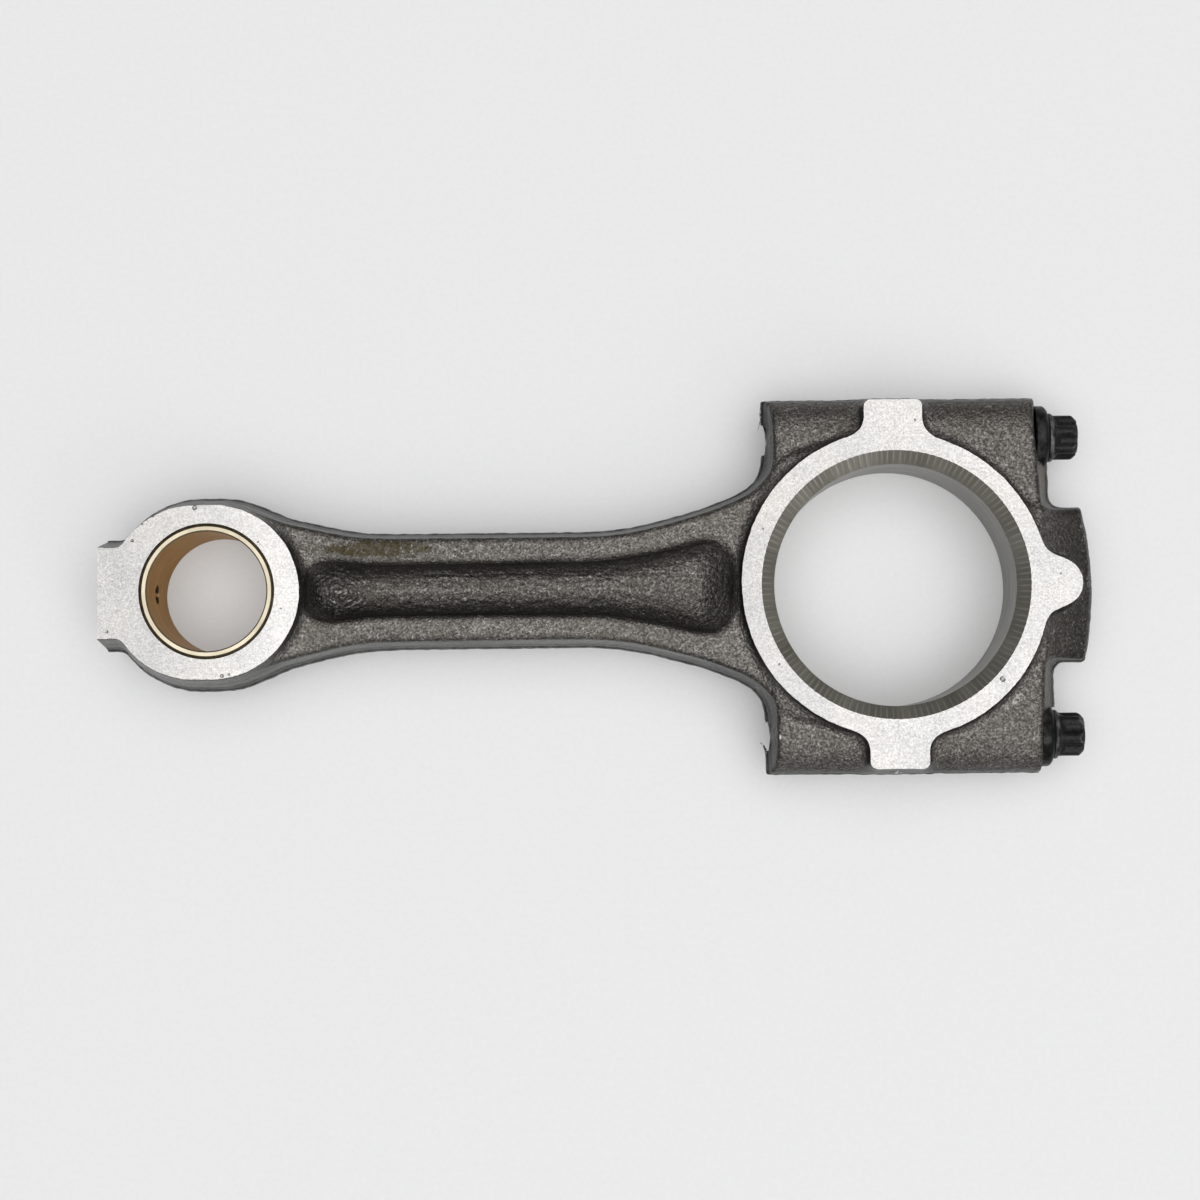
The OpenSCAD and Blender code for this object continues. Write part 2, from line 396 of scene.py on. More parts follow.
def eye_field():
    """The small end: a slightly long eye with the lug at its outer end."""
    root = at_parting(EYE_FACE_R, EYE_DRAFT)
    along = np.clip(X - EYE_X, EYE_CENTRES[1], EYE_CENTRES[0])
    eye = forged(np.hypot(X - EYE_X - along, Y) - root, RAW_TOP, draft=EYE_DRAFT)
    lug_middle = (LUG_END_X - LUG_STOCK + EYE_X) / 2
    lug_half_x = (EYE_X - LUG_END_X + LUG_STOCK) / 2
    lug_outline = box_2d(lug_middle, 0, lug_half_x, at_parting(LUG_HALF, EYE_DRAFT), 1)
    lug = forged(lug_outline, RAW_TOP, draft=EYE_DRAFT)
    return smooth_min(eye, lug, 1.2)


def forging_field():
    # the pockets are sunk in the shank only, so the eye and the big end close them
    field = smooth_max(shank_field(), -pocket_field(), 1.0)
    field = smooth_min(field, eye_field(), 3.2)
    field = smooth_min(field, big_end_field(), 3.2)
    # trimmed flash stands proud along the parting plane
    ramp = np.clip((FLASH_HALF_Z + 0.35 - zs) / 0.7, 0, 1)
    wander = 0.9 + 0.1 * np.sin(X / 0.8 + 1.7 * np.sin(Y / 1.1) + 2.3 * np.sin(X / 4.7))
    field -= FLASH_REACH * ramp * wander[:, :, None]
    return field


# ---------------------------------------------------------------- mesh helpers

def add_object(name, mesh, material):
    mesh.materials.append(material)
    obj = bpy.data.objects.new(name, mesh)
    bpy.context.scene.collection.objects.link(obj)
    return obj


def mesh_object(name, points, faces, material):
    mesh = bpy.data.meshes.new(name)
    mesh.from_pydata([tuple(p) for p in np.asarray(points, float) * MM], [], faces)
    mesh.update()
    return add_object(name, mesh, material)


def quad_object(name, points, quads, material):
    """A mesh object from large arrays of points and four-sided faces."""
    mesh = bpy.data.meshes.new(name)
    mesh.vertices.add(len(points))
    mesh.loops.add(quads.size)
    mesh.loops.foreach_set("vertex_index", quads.ravel().astype(np.int32))
    mesh.polygons.add(len(quads))
    mesh.polygons.foreach_set("loop_start", np.arange(0, quads.size, 4, dtype=np.int32))
    mesh.vertices.foreach_set("co", (np.asarray(points, np.float32) * MM).ravel())
    mesh.update(calc_edges=True)
    mesh.validate()
    return add_object(name, mesh, material)


def points_of(mesh):
    co = np.empty(len(mesh.vertices) * 3, np.float32)
    mesh.vertices.foreach_get("co", co)
    return co.reshape(-1, 3) / MM


def set_points(mesh, points):
    mesh.vertices.foreach_set("co", (np.asarray(points, np.float32) * MM).ravel())
    mesh.update()


def turned(name, rings, segments, material, closed=False):
    """A solid turned about Z. Rings are (radius, z), where a radius may be an array that varies
    round its ring. Closed rings go round a hollow section; otherwise both ends are flat."""
    angles = np.linspace(0, 2 * math.pi, segments, endpoint=False)
    points = np.concatenate([
        np.c_[radius * np.cos(angles), radius * np.sin(angles), np.full(segments, float(z))]
        for radius, z in rings
    ])
    count = len(rings)
    faces = []
    for ring in range(count if closed else count - 1):
        here = ring * segments
        above = (ring + 1) % count * segments
        for k in range(segments):
            after = (k + 1) % segments
            faces.append((here + k, here + after, above + after, above + k))
    if not closed:
        last = (count - 1) * segments
        faces.append(tuple(range(segments - 1, -1, -1)))
        faces.append(tuple(range(last, last + segments)))
    return mesh_object(name, points, faces, material)


def block(name, low, high, material):
    points = list(itertools.product(*zip(low, high)))
    faces = [(0, 1, 3, 2), (4, 6, 7, 5), (0, 4, 5, 1), (2, 3, 7, 6), (0, 2, 6, 4), (1, 5, 7, 3)]
    return mesh_object(name, points, faces, material)


def prism(name, outline, low, high, material):
    """A straight-sided solid between two heights over a closed outline."""
    count = len(outline)
    following = outline[1:] + outline[:1]
    area = sum(here[0] * after[1] - after[0] * here[1] for here, after in zip(outline, following))
    if area < 0:
        outline = outline[::-1]
    points = [(x, y, low) for x, y in outline] + [(x, y, high) for x, y in outline]
    faces = [tuple(range(count - 1, -1, -1)), tuple(range(count, 2 * count))]
    faces += [(k, (k + 1) % count, (k + 1) % count + count, k + count) for k in range(count)]
    return mesh_object(name, points, faces, material)


def place(obj, x=0.0, y=0.0, along_x=False):
    turn = Matrix.Rotation(math.radians(90), 4, "Y") if along_x else Matrix.Identity(4)
    obj.data.transform(Matrix.Translation(Vector((x, y, 0)) * MM) @ turn)
    return obj


def machine(target, cutters, operation="DIFFERENCE"):
    """Applies each cutter to the target mesh and removes it. Cut faces keep the cutter's material."""
    for cutter in cutters:
        cut = target.modifiers.new("cut", "BOOLEAN")
        cut.operation = operation
        cut.object = cutter
        cut.solver = "MANIFOLD"
        cut.material_mode = "TRANSFER"
        graph = bpy.context.evaluated_depsgraph_get()
        mesh = bpy.data.meshes.new_from_object(target.evaluated_get(graph))
        target.modifiers.remove(cut)
        old = target.data
        target.data = mesh
        bpy.data.meshes.remove(old)
        spent = cutter.data
        bpy.data.objects.remove(cutter)
        bpy.data.meshes.remove(spent)
    return target


def copy_of(obj, name):
    twin = bpy.data.objects.new(name, obj.data.copy())
    bpy.context.scene.collection.objects.link(twin)
    return twin


def smooth(obj, degrees=32):
    mesh = obj.data
    mesh.polygons.foreach_set("use_smooth", np.ones(len(mesh.polygons), bool))
    mesh.set_sharp_from_angle(angle=math.radians(degrees))


# ---------------------------------------------------------------- materials

BLACK = (0.0, 0.0, 0.0)


class Surface:
    """A procedural material in object coordinates, built with short node calls.

    Object coordinates are metres, so heights and places in the materials are metres too.
    """

    def __init__(self, name, rough=0.5, metal=1.0):
        self.material = bpy.data.materials.new(name)
        self.material.use_nodes = True
        self.tree = self.material.node_tree
        self.shader = self.tree.nodes["Principled BSDF"]
        self.shader.inputs["Metallic"].default_value = metal
        self.shader.inputs["Roughness"].default_value = rough
        coordinates = self.tree.nodes.new("ShaderNodeTexCoord")
        self.where = coordinates.outputs["Object"]
        self.normal = coordinates.outputs["Normal"]

    def node(self, kind, inputs=None, **settings):
        node = self.tree.nodes.new(kind)
        for key, value in settings.items():
            setattr(node, key, value)
        for key, value in (inputs or {}).items():
            if isinstance(value, bpy.types.NodeSocket):
                self.tree.links.new(value, node.inputs[key])
            else:
                node.inputs[key].default_value = value
        return node

    def mapped(self, scale):
        return self.node("ShaderNodeMapping", {0: self.where, "Scale": scale}).outputs[0]

    def noise(self, cell_mm, detail=3.0, rough=0.55, vector=None, distortion=0.0):
        inputs = {
            "Vector": vector or self.where, "Scale": 1000 / cell_mm, "Detail": detail,
            "Roughness": rough, "Distortion": distortion,
        }
        return self.node("ShaderNodeTexNoise", inputs).outputs["Fac"]

    def cells(self, cell_mm, feature="F1"):
        inputs = {"Vector": self.where, "Scale": 1000 / cell_mm}
        return self.node("ShaderNodeTexVoronoi", inputs, feature=feature).outputs["Distance"]

    def ramp(self, value, stops):
        """stops are (position, colour or grey)."""
        node = self.node("ShaderNodeValToRGB", {0: value})
        ramp = node.color_ramp
        while len(ramp.elements) < len(stops):
            ramp.elements.new(0.5)
        for element, (position, colour) in zip(ramp.elements, stops):
            element.position = position
            grey = not isinstance(colour, tuple)
            element.color = (colour, colour, colour, 1) if grey else (*colour, 1)
        return node.outputs[0]

    def math(self, operation, a, b=0.0, c=0.0):
        return self.node("ShaderNodeMath", {0: a, 1: b, 2: c}, operation=operation).outputs[0]

    def times(self, a, b):
        return self.math("MULTIPLY", a, b)

    def size_of(self, value):
        return self.math("ABSOLUTE", value)

    def share(self, a, part, b):
        """The part of a, and the rest of b."""
        return self.math("ADD", self.times(a, part), self.times(b, 1 - part))

    def between(self, value, low, high):
        """0 below low, 1 above high; the other way round if low is the larger."""
        inputs = {"Value": value, "From Min": low, "From Max": high}
        return self.node("ShaderNodeMapRange", inputs).outputs[0]

    def blend(self, factor, a, b, mode="MIX"):
        node = self.node("ShaderNodeMix", data_type="RGBA", blend_type=mode)
        # a colour mix has its factor in socket 0 and its colours in 6 and 7
        for key, value in ((0, factor), (6, a), (7, b)):
            if isinstance(value, bpy.types.NodeSocket):
                self.tree.links.new(value, node.inputs[key])
            elif key:
                node.inputs[key].default_value = (*value, 1)
            else:
                node.inputs[key].default_value = value
        return node.outputs[2]

    def shade(self, colour, by, amount=1.0):
        return self.blend(amount, colour, by, "MULTIPLY")

    def stain(self, colour, mask, amount, over=BLACK):
        """The colour, brought towards another by the amount where the mask is 1."""
        return self.blend(self.times(mask, amount), colour, over)

    def axes(self, vector=None):
        return self.node("ShaderNodeSeparateXYZ", {0: vector or self.where}).outputs

    def pointiness(self):
        return self.node("ShaderNodeNewGeometry").outputs["Pointiness"]

    def spot(self, centre_mm, radii_mm, wobble=0.35, cell_mm=4.0):
        """1 inside an uneven patch, 0 outside."""
        shift = self.node("ShaderNodeVectorMath", {
            0: self.where, 1: tuple(c * MM for c in centre_mm),
        }, operation="SUBTRACT").outputs[0]
        scaled = self.node("ShaderNodeVectorMath", {
            0: shift, 1: tuple(1 / (r * MM) for r in radii_mm),
        }, operation="MULTIPLY").outputs[0]
        length = self.node("ShaderNodeVectorMath", {0: scaled}, operation="LENGTH").outputs["Value"]
        uneven = self.math("MULTIPLY_ADD", self.noise(cell_mm, 4), wobble * 2, -wobble)
        return self.between(self.math("ADD", length, uneven), 1.05, 0.75)

    def bump(self, height, depth_mm, after=None):
        inputs = {"Height": height, "Strength": 1.0, "Distance": depth_mm * MM}
        if after:
            inputs["Normal"] = after
        return self.node("ShaderNodeBump", inputs).outputs[0]

    def wire(self, colour, rough=None, normal=None):
        for key, value in (("Base Color", colour), ("Roughness", rough), ("Normal", normal)):
            if value is not None:
                self.tree.links.new(value, self.shader.inputs[key])
        return self.material


def blasted_skin(s, grain, peel, fine, edge):
    """The upper surfaces: dark and grainy, paler on peaks and darker in hollows, as painted highlight
    and painted shade.
    """
    x, _, z = s.axes()
    height = s.size_of(z)
    mottle = s.blend(s.between(x, -0.044, -0.036), s.share(grain, 0.8, peel), fine)
    skin = s.ramp(mottle, [
        (0.36, (0.062, 0.057, 0.051)), (0.5, (0.129, 0.12, 0.11)), (0.64, (0.25, 0.237, 0.222)),
    ])
    # painted highlight on the peaks and painted shade in the hollows, from the mesh's pointiness
    skin = s.shade(skin, s.ramp(edge, [(0.455, 0.3), (0.482, 0.66), (0.5, 1.0), (0.52, 1.4)]))
    brown = s.ramp(s.noise(14, 3), [(0.5, 0.0), (0.75, 0.3)])
    skin = s.blend(brown, skin, (0.105, 0.09, 0.07))
    # darker scale is left on the big end; painted shade darkens the pockets, most of all their left
    # bulb, and the rib behind the nose
    skin = s.stain(skin, s.between(x, -0.040, -0.034), 0.12)
    skin = s.stain(skin, s.between(height, 0.0075, 0.005), 0.3)
    bulb = s.times(s.between(x, -0.130, -0.137), s.between(height, 0.0085, 0.006))
    skin = s.stain(skin, bulb, 0.35)
    rib = s.times(s.between(x, 0.038, 0.041), s.between(height, 0.0095, 0.0088))
    skin = s.stain(skin, rib, 0.3)
    oil = s.spot((-130, 10.4, 10), (15.5, 2.2, 6), wobble=0.4, cell_mm=3.0)
    patchy = s.times(oil, s.ramp(peel, [(0.35, 0.9), (0.65, 0.5)]))
    skin = s.blend(patchy, skin, (0.042, 0.033, 0.012))
    # painted glints: pale specks where the grain and the peel are both high
    painted_glint = s.times(s.between(grain, 0.6, 0.66), s.between(peel, 0.5, 0.6))
    return s.stain(skin, painted_glint, 0.7, (0.38, 0.375, 0.365))


def drawn_wall(s, fine):
    """The drafted side walls, smoother than the top and striped along the rod."""
    x, y, z = s.axes()
    lines = s.noise(2.6, 3, vector=s.mapped((0.06, 0.06, 1)))
    wall = s.ramp(lines, [(0.36, (0.05, 0.05, 0.047)), (0.6, (0.138, 0.138, 0.132))])
    # painted light and shade in strips from the parting plane up: shaded trimmed flash, a highlit strip
    # on its ledge, a shaded line, the drawn wall, the top corner
    strips = s.ramp(s.math("DIVIDE", s.size_of(z), HALF_T * MM), [
        (0.0, 0.5), (0.12, 0.5), (0.145, 0.9), (0.19, 0.9), (0.22, 0.5), (0.27, 0.55), (0.36, 1.05),
        (0.6, 1.05), (0.66, 0.8), (0.7, 1.1), (1.0, 1.0),
    ])
    wall = s.shade(wall, strips)
    wall = s.shade(wall, s.ramp(fine, [(0.36, 0.65), (0.64, 1.35)]))
    wall = s.stain(wall, s.between(x, -0.056, -0.040), 0.5)
    # painted shade on the walls that face +Y, away from the brighter side of the room
    wall = s.stain(wall, s.between(s.axes(s.normal)[1], 0.3, 0.8), 0.35)
    # brown scale on the back of the cap
    wall = s.stain(wall, s.between(x, 0.030, 0.036), 0.6, (0.036, 0.032, 0.026))
    # torn flash beside the bolt holes
    torn = s.times(s.between(x, -0.0319, -0.0324), s.between(x, -0.0365, -0.0355))
    torn = s.times(torn, s.between(s.size_of(y), 0.0295, 0.031))
    return s.blend(torn, wall, (0.01, 0.01, 0.009))


def forged_steel():
    """Shot-blasted forging: dark and fine grained on top, smoother on the drafted walls."""
    s = Surface("forged_steel", metal=0.92)
    steep = s.between(s.size_of(s.axes(s.normal)[2]), 0.55, 0.3)
    flash = s.between(s.size_of(s.axes()[2]), 0.0026, 0.0018)
    wall = s.math("MAXIMUM", steep, flash)
    grain = s.noise(0.58, 3, 0.65)
    peel = s.noise(1.5, 3, 0.5, distortion=0.6)
    fine = s.share(grain, 0.95, peel)
    edge = s.pointiness()
    colour = s.blend(wall, blasted_skin(s, grain, peel, fine, edge), drawn_wall(s, fine))
    rust = s.spot((38.6, 28.5, 6), (1.9, 5.0, 6), cell_mm=1.5)
    colour = s.stain(colour, rust, 0.7, (0.085, 0.055, 0.03))
    # pale convex edges: partly wear, partly painted glints
    wear_and_glint = s.times(s.between(edge, 0.508, 0.54), s.between(grain, 0.5, 0.58))
    colour = s.stain(colour, wear_and_glint, 0.8, (0.36, 0.355, 0.345))
    knock = s.spot((-29.1, -37.7, 8.5), (0.35, 0.8, 2), wobble=0.1)
    colour = s.blend(knock, colour, (0.6, 0.595, 0.585))
    rough = s.blend(wall, s.ramp(grain, [(0.3, 0.46), (0.7, 0.33)]), (0.36, 0.36, 0.36))
    calm = s.ramp(wall, [(0.0, 1.0), (1.0, 0.5)])
    normal = s.bump(s.times(peel, calm), 0.3)
    normal = s.bump(s.times(grain, calm), 0.3, after=normal)
    return s.wire(colour, rough, normal)


def machined_face():
    """Ground side faces: bright, with fine grain, faint grinding lines and a few pin pits."""
    s = Surface("machined_face", metal=0.92)
    grain = s.noise(0.42, 3, 0.65)
    lines = s.noise(0.5, 3, vector=s.mapped((0.12, 1.6, 1)))
    both = s.share(grain, 0.85, lines)
    colour = s.ramp(both, [
        (0.34, (0.315, 0.307, 0.3)), (0.5, (0.403, 0.395, 0.386)), (0.66, (0.495, 0.486, 0.477)),
    ])
    tint = s.ramp(s.noise(16, 4), [(0.38, (1.0, 0.985, 0.97)), (0.62, (0.87, 0.88, 0.89))])
    colour = s.shade(colour, tint, 0.8)
    # painted highlight and shade: each face is made paler and darker in colour from end to end
    along = s.between(s.axes()[0], -0.2, 0.05)
    painted_sheen = s.ramp(along, [
        (0.0, 0.93), (0.06, 0.95), (0.16, 1.1), (0.19, 1.2), (0.62, 0.84), (0.7, 0.94), (0.8, 1.0),
    ])
    colour = s.shade(colour, painted_sheen)
    pin_pits = s.ramp(s.cells(3.1), [(0.0, 0.25), (0.045, 1.0)])
    colour = s.shade(colour, pin_pits, 0.7)
    return s.wire(colour, s.ramp(both, [(0.3, 0.48), (0.7, 0.33)]), s.bump(both, 0.018))


def bored_wall():
    """Fine-bored housing wall: grey with close turned lines round the bore."""
    s = Surface("bored_wall", metal=0.95)
    lines = s.noise(0.35, 3, vector=s.mapped((0.03, 0.03, 1)))
    cloud = s.noise(6, 3)
    colour = s.ramp(lines, [(0.38, (0.084, 0.081, 0.069)), (0.62, (0.17, 0.164, 0.144))])
    colour = s.blend(s.ramp(cloud, [(0.45, 0.0), (0.8, 0.3)]), colour, (0.16, 0.15, 0.125))
    return s.wire(colour, s.ramp(lines, [(0.3, 0.38), (0.7, 0.28)]), s.bump(lines, 0.01))


def chattered_chamfer():
    """Wide bore chamfer with uneven radial chatter marks."""
    s = Surface("chattered_chamfer", metal=0.85)
    x, y, z = s.axes()
    angle = s.math("ARCTAN2", y, x)
    unrolled = {0: s.times(angle, 30.0), 1: 0.0, 2: s.times(z, 60.0)}
    around = s.node("ShaderNodeCombineXYZ", unrolled).outputs[0]
    # a cell of 1000 is one unit of this unrolled band
    streak = s.noise(1000, 3, 0.6, vector=around)
    broad = s.noise(6250, 1, 0.5, vector=around)
    colour = s.ramp(s.share(streak, 0.6, broad), [
        (0.36, (0.21, 0.2, 0.165)), (0.5, (0.3, 0.29, 0.25)), (0.64, (0.4, 0.39, 0.34)),
    ])
    # thin bright tooth marks about 1.5 mm apart, uneven in strength, fading towards the bore
    phase = s.math("MULTIPLY_ADD", broad, 9.0, s.times(angle, 138.0))
    tooth = s.between(s.math("SINE", phase), 0.35, 0.95)
    tooth = s.times(tooth, s.between(s.size_of(z), 0.0114, 0.0126))
    strength = s.ramp(streak, [(0.38, 0.15), (0.62, 0.75)])
    colour = s.stain(colour, tooth, strength, (0.6, 0.585, 0.52))
    return s.wire(colour, s.ramp(streak, [(0.4, 0.5), (0.6, 0.34)]), s.bump(streak, 0.06))


def turned_steel(name, dark, light):
    """Drilled and spot-faced walls with tool lines."""
    s = Surface(name, metal=0.9)
    lines = s.noise(0.5, 3, vector=s.mapped((1.4, 0.3, 0.3)))
    colour = s.ramp(lines, [(0.35, dark), (0.65, light)])
    return s.wire(colour, s.ramp(lines, [(0.3, 0.5), (0.7, 0.34)]), s.bump(lines, 0.03))


def fracture_face():
    """Bright crystalline fracture."""
    s = Surface("fracture_face", metal=0.7)
    grain = s.cells(0.45, "SMOOTH_F1")
    colour = s.ramp(grain, [(0.1, (0.2, 0.2, 0.205)), (0.7, (0.5, 0.5, 0.51))])
    return s.wire(colour, s.ramp(grain, [(0.1, 0.65), (0.7, 0.4)]), s.bump(s.noise(0.8, 5), 0.25))


def bronze_bush():
    """Bored bronze: fine turned lines, warm and slightly uneven, and paler on its end faces as a painted
    highlight.
    """
    s = Surface("bronze_bush")
    s.shader.inputs["Specular Tint"].default_value = (0.78, 0.6, 0.42, 1)
    lines = s.noise(0.4, 3, vector=s.mapped((0.04, 0.04, 1)))
    mixed = s.share(lines, 0.5, s.noise(5, 4))
    wall = s.ramp(mixed, [
        (0.3, (0.25, 0.15, 0.072)), (0.5, (0.335, 0.212, 0.11)), (0.7, (0.405, 0.268, 0.152)),
    ])
    end = s.ramp(mixed, [
        (0.3, (0.29, 0.255, 0.185)), (0.5, (0.365, 0.325, 0.245)), (0.7, (0.44, 0.4, 0.32)),
    ])
    # painted highlight: faces that point up get a paler copy of the wall's colour
    upright = s.size_of(s.axes(s.normal)[2])
    colour = s.blend(s.between(upright, 0.4, 0.7), wall, end)
    return s.wire(colour, s.ramp(lines, [(0.3, 0.38), (0.7, 0.27)]), s.bump(lines, 0.008))


def black_oxide():
    """Black bolt finish, grey on the edges from wear and painted highlight, and darker on the flange as
    painted shade.
    """
    s = Surface("black_oxide", metal=0.3)
    s.shader.inputs["Specular IOR Level"].default_value = 0.1
    fine = s.noise(0.5, 4)
    cloud = s.noise(3.0, 4)
    colour = s.ramp(fine, [(0.35, (0.009, 0.009, 0.0095)), (0.65, (0.026, 0.026, 0.027))])
    # grey edges: partly wear, partly painted highlights
    wear_and_highlight = s.times(s.between(s.pointiness(), 0.515, 0.56), s.between(cloud, 0.42, 0.6))
    colour = s.stain(colour, wear_and_highlight, 0.85, (0.17, 0.167, 0.162))
    # painted shade on the flange, which lies under the cap's seat
    flange = s.between(s.axes()[0], (SEAT_X + 3.7) * MM, (SEAT_X + 3.3) * MM)
    colour = s.stain(colour, flange, 0.65)
    return s.wire(colour, s.ramp(cloud, [(0.35, 0.5), (0.65, 0.33)]), s.bump(fine, 0.02))


FORGED = forged_steel()
FACE = machined_face()
BORE = bored_wall()
CHAMFER = chattered_chamfer()
SEAT = turned_steel("seat_cut", (0.24, 0.235, 0.22), (0.46, 0.45, 0.43))
DRILLED = turned_steel("drilled_wall", (0.12, 0.115, 0.11), (0.3, 0.295, 0.28))
FRACTURE = fracture_face()
BRONZE = bronze_bush()
OXIDE = black_oxide()


# ---------------------------------------------------------------- pieces

def raw_forging():
    """The field meshed on both sides of the parting plane."""
    field = forging_field()
    full = np.concatenate([field[:, :, :0:-1], field], axis=2)
    limit = 3 * VOXEL
    full = np.clip(full, -limit, limit).astype(np.float32)
    grid = openvdb.FloatGrid(limit)
    grid.copyFromArray(np.ascontiguousarray(full))
    points, quads = grid.convertToQuads(0.0)
    origin = np.array([xs[0], ys[0], -zs[-1]], np.float32)
    return quad_object("forging", points * VOXEL + origin, quads[:, ::-1].copy(), FORGED)


def roughen(obj):
    """Shot-blasted skin: low swells, fine grain, wrinkled pocket floors and a few pits."""
    mesh = obj.data
    points = points_of(mesh)
    normals = np.empty(len(points) * 3, np.float32)
    mesh.vertices.foreach_get("normal", normals)
    normals = normals.reshape(-1, 3)
    x, y, z = points.T
    height = layered_noise(points, SKIN_LAYERS)
    # wrinkles of the pocket floors, in rings round the left end
    deep = np.clip((6.5 - np.abs(z)) / 2, 0, 1) * (np.abs(y) < 12.5) * (x > -149) * (x < -40)
    far = np.hypot(x - WRINKLE_X, y * 1.15)
    warp = 1.6 * lattice_noise(points, 2.2, 14)
    ripple = np.sin(2 * math.pi * (far + warp) / WRINKLE_PITCH)
    height += deep * ripple * (0.03 + 0.09 * np.exp(-(far / 7) ** 2))
    height += deep * 0.12 * lattice_noise(points * (0.7, 1.3, 1), 1.4, 15)
    # a low knob in the middle of the rings
    height += 0.35 * deep * np.exp(-(np.hypot(x + 139.5, y) / 2.2) ** 2)
    # flow lines along the foot of the upper pocket wall
    drawn = np.exp(-((y - 3.6) / 1.6) ** 2) * np.clip((x + 132) / 8, 0, 1)
    lines = lattice_noise(points * (0.09, 1, 1), 0.8, 16)
    height += deep * drawn * 0.16 * lines
    rng = np.random.default_rng(5)
    scattered = [
        (rng.uniform(-150, 34), rng.uniform(-46, 46), rng.uniform(0.4, 0.8), rng.uniform(0.1, 0.3))
        for _ in range(SCATTERED_PITS)
    ]
    top = z > 3
    for pit_x, pit_y, radius, depth in PITS + scattered:
        near = top & (np.abs(x - pit_x) < 3 * radius) & (np.abs(y - pit_y) < 3 * radius)
        reach = np.hypot(x[near] - pit_x, y[near] - pit_y) / radius
        height[near] -= PIT_STRENGTH * depth * np.exp(-reach ** 2) * (normals[near, 2] > 0.5)
    set_points(mesh, points + normals * height[:, None])


def cut_faces(obj):
    machine(obj, [
        block("face_cut", (-BEYOND, -BEYOND, HALF_T), (BEYOND, BEYOND, HALF_T + 20), FACE),
        block("face_cut", (-BEYOND, -BEYOND, -HALF_T - 20), (BEYOND, BEYOND, -HALF_T), FACE),
        block("lug_cut", (LUG_END_X - 20, -BEYOND, -60), (LUG_END_X, BEYOND, 60), FACE),
    ])


def mouth_cutter(side):
    """The chamfer of one end of the bore, with a slight chatter in its radius."""
    slope = (CHAMFER_R - BORE_R) / CHAMFER_DEPTH
    stations = [
        (BORE_R - 1, side * (HALF_T - CHAMFER_DEPTH - 1 / slope)),
        (CHAMFER_R + slope, side * (HALF_T + 1)),
    ]
    if side < 0:
        stations.reverse()
    mouth = turned("mouth_cut", stations, 1080, CHAMFER)
    points = points_of(mouth.data)
    angle = np.arctan2(points[:, 1], points[:, 0])
    wave = np.sin(CHATTER_MARKS * angle + 1.4 * np.sin(7 * angle) + side)
    lift = 1 + CHATTER_DEPTH * wave * (0.6 + 0.4 * np.sin(11 * angle))
    points[:, :2] *= lift[:, None]
    set_points(mouth.data, points)
    return mouth


def oil_cutter(start_x, material):
    drill = turned("oil_cut", [(OIL_HOLE_R, 0), (OIL_HOLE_R, OIL_HOLE_LENGTH)], 48, material)
    return place(drill, start_x, along_x=True)


def cut_bores(obj):
    top = HALF_T + 1
    housing = turned("housing_cut", [(HOUSING_R, -top), (HOUSING_R, top)], 192, DRILLED)
    machine(obj, [
        turned("bore_cut", [(BORE_R, -top), (BORE_R, top)], 360, BORE),
        mouth_cutter(1),
        mouth_cutter(-1),
        place(housing, EYE_X),
        oil_cutter(LUG_END_X - LUG_STOCK, DRILLED),
    ])


def cut_bolt_holes(obj):
    """Tapped and clearance holes, and round seats that stop short of the rib."""
    cutters = []
    for side in (1, -1):
        y = side * BOLT_Y
        bore = turned("bolt_cut", [
            (TAPPED_R, SHOULDER_X - 6), (TAPPED_R, BOLT_TIP_X - 1.5), (RELIEF_R, BOLT_TIP_X - 1.0),
            (RELIEF_R, 2.0), (CLEAR_R, 2.2), (CLEAR_R, CROWN_X + 5),
        ], 72, DRILLED)
        cutters.append(place(bore, 0, y, along_x=True))
        seat = turned("seat_cut", [(SEAT_CUT_R, SEAT_X), (SEAT_CUT_R, CROWN_X + 5)], 144, SEAT)
        place(seat, 0, y, along_x=True)
        limits = sorted((side * SEAT_INNER_Y, -side * 60))
        kept = block("kept", (0, limits[0], -20), (60, limits[1], 20), SEAT)
        cutters.append(machine(seat, [kept]))
    machine(obj, cutters)


def nick_faces(obj):
    """Small nicks in the machined faces, and the chip at the split line."""
    cutters = []
    for x, y, radius, depth in NICKS:
        pit = turned("nick", [
            (radius * 0.25, HALF_T - depth), (radius * 0.75, HALF_T - depth * 0.7),
            (radius, HALF_T), (radius * 1.2, HALF_T + 1),
        ], 12, DRILLED)
        cutters.append(place(pit, x, y))
    chip = prism("chip", CHIP, 2.0, HALF_T - 0.4, FRACTURE)
    machine(obj, [*cutters, chip])


def leave_flakes(obj):
    flakes = [prism("flake", outline, -0.45, 0.55, FORGED) for outline in FLAKES]
    machine(obj, flakes, "UNION")


def fracture_cutter(side):
    """Everything on one side of the rough split surface."""
    line_y = np.arange(-SIDE_Y - 5, SIDE_Y + 5 + SPLIT_STEP, SPLIT_STEP)
    line_z = np.arange(-HALF_T - 5, HALF_T + 5 + SPLIT_STEP, SPLIT_STEP)
    grid_y, grid_z = np.meshgrid(line_y, line_z, indexing="ij")
    where = np.c_[np.zeros(grid_y.size), grid_y.ravel(), grid_z.ravel()]
    near = where.copy()
    near[:, 0] = layered_noise(where, SPLIT_LAYERS) + side * SPLIT_GAP
    far = near.copy()
    far[:, 0] = side * BEYOND
    count = grid_y.size
    index = np.arange(count).reshape(grid_y.shape)
    quads = np.stack([index[:-1, :-1], index[1:, :-1], index[1:, 1:], index[:-1, 1:]], -1).reshape(-1, 4)
    rim = np.concatenate([index[:, 0], index[-1, 1:], index[-2::-1, -1], index[0, -2:0:-1]])
    following = np.roll(rim, -1)
    walls = np.stack([rim, rim + count, following + count, following], -1)
    if side > 0:
        faces = np.concatenate([quads[:, ::-1], quads + count, walls[:, ::-1]])
    else:
        faces = np.concatenate([quads, (quads + count)[:, ::-1], walls])
    return quad_object("split", np.concatenate([near, far]), faces, FRACTURE)


